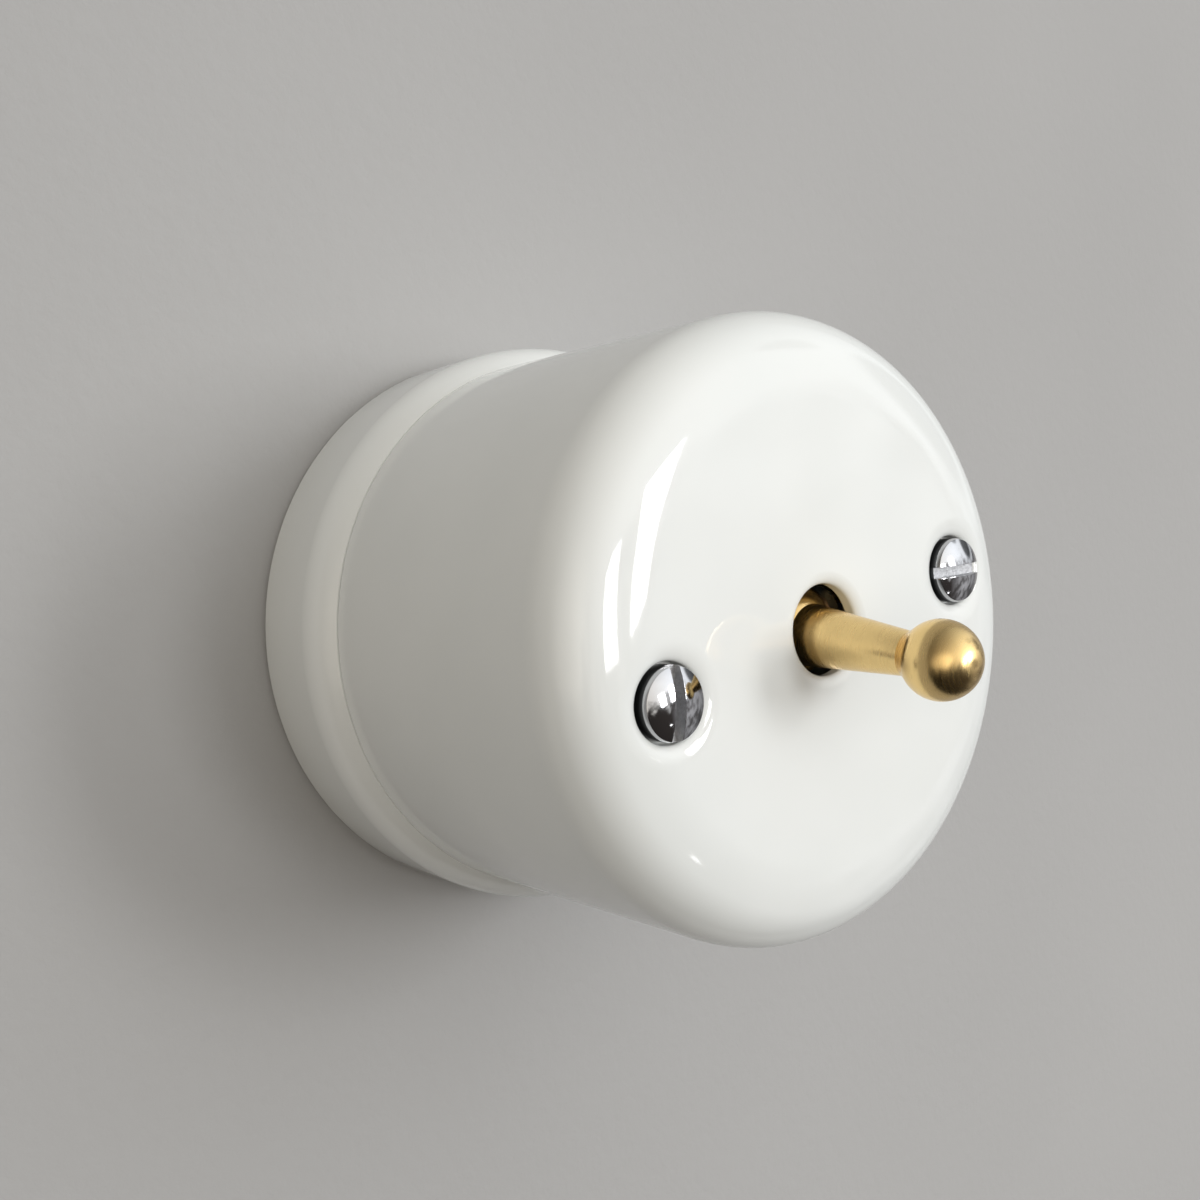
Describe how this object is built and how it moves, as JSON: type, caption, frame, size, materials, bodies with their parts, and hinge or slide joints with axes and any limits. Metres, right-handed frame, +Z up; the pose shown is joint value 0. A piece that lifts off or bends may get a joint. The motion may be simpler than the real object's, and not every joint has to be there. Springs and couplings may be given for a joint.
{
  "type": "toggle light switch",
  "caption": "Round surface-mounted light switch: white porcelain base and deep cover, turned brass tilting lever, screws in the face, over-centre changeover mechanism inside.",
  "frame": {"origin": "centre of the flat back face that goes against the wall", "axes": "+Z up the wall, +Y into the wall, the face of the switch looks along -Y, X runs through the two cover screws"},
  "size_m": [0.07, 0.0736, 0.07],
  "materials": {
    "porcelain": "white glaze, high gloss",
    "chrome_screw": "polished chrome with a milled slot",
    "steel_screw": "zinc-plated",
    "lever_brass": "satin brass, turned, polished knob",
    "inner_brass": "bright machined brass",
    "bronze_washer": "stamped bronze",
    "sheet_steel": "nickel-plated strip",
    "pin_steel": "ground steel",
    "spring_steel": "drawn spring wire",
    "moulding": "dark phenolic moulding",
    "contact_silver": "silver contact rivet"
  },
  "bodies": {
    "root": {"base": "porcelain", "cover": "porcelain", "cover_screws": "chrome_screw", "pillar_screws": "steel_screw", "body_screws": "steel_screw", "bridge_screws": "steel_screw", "clamp_screws": "steel_screw", "left_pillar": "inner_brass", "right_pillar": "inner_brass", "upper_terminal": "inner_brass", "lower_terminal": "inner_brass", "common_terminal": "inner_brass", "upper_clamp": "inner_brass", "lower_clamp": "inner_brass", "common_clamp": "inner_brass", "pivot_washers": "bronze_washer", "bridge": "sheet_steel", "pivot_pin": "pin_steel", "rocker_pin": "pin_steel", "mechanism_body": "moulding", "upper_contact": "contact_silver", "lower_contact": "contact_silver"},
    "lever": {"lever": "lever_brass", "insulating_cap": "moulding", "toggle_spring": "spring_steel"},
    "rocker": {"rocker": "inner_brass", "spring_seat": "inner_brass", "rocker_contacts": "contact_silver"}
  },
  "joints": [
    {"name": "lever_tilt", "type": "hinge", "parent": "root", "child": "lever", "pos_m": [0, -0.0501, 0], "axis": [-1, 0, 0], "range_deg": [0, 15], "deforming": ["toggle_spring"]},
    {"name": "rocker_tilt", "type": "hinge", "parent": "root", "child": "rocker", "pos_m": [0, -0.02, 0], "axis": [-1, 0, 0], "range_deg": [0, 20]}
  ],
  "couplings": [
    {"joint": "rocker_tilt", "follows": "lever_tilt", "ratio": 1.3333}
  ]
}
